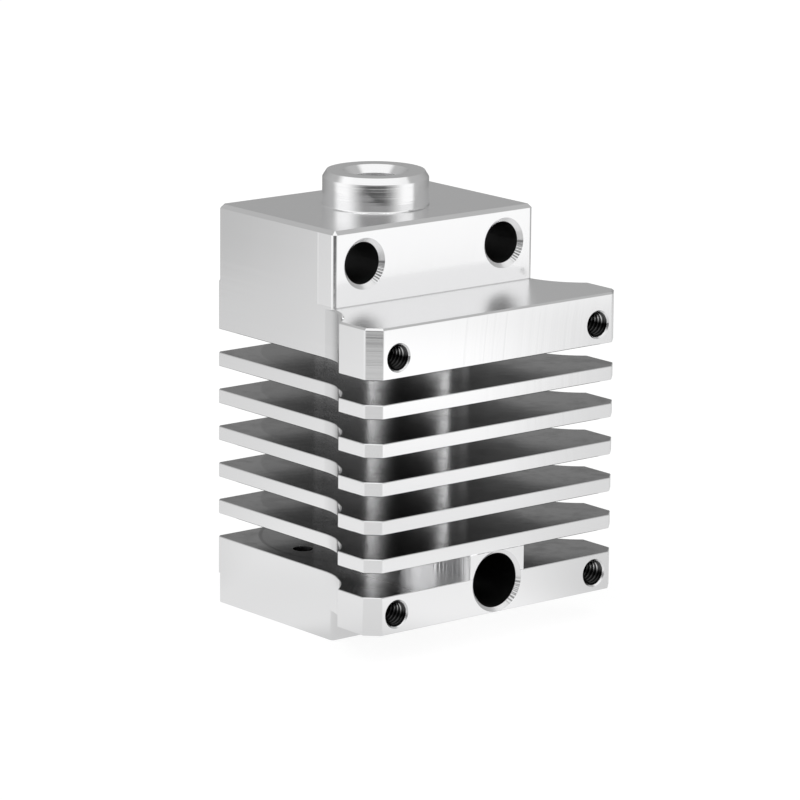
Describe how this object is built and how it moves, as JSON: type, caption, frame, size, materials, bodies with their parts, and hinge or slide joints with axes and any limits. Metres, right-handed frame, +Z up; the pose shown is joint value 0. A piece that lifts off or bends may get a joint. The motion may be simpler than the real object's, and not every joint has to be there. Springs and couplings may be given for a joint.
{
  "type": "hotend heat sink",
  "caption": "One-piece finned heat sink for a 3-D printer hot end: an inlet boss, a mounting head, a wide fan side with thin fins, and a bored foot.",
  "frame": {"origin": "on the filament axis, where it leaves the bottom face", "axes": "+Z up towards the filament inlet, -Y towards the fan, +X to the right seen from the fan side"},
  "size_m": [0.025, 0.0227, 0.035],
  "materials": {
    "machined_aluminium": "bare, fine machined"
  },
  "bodies": {
    "root": {"heat_sink": "machined_aluminium"}
  },
  "joints": []
}
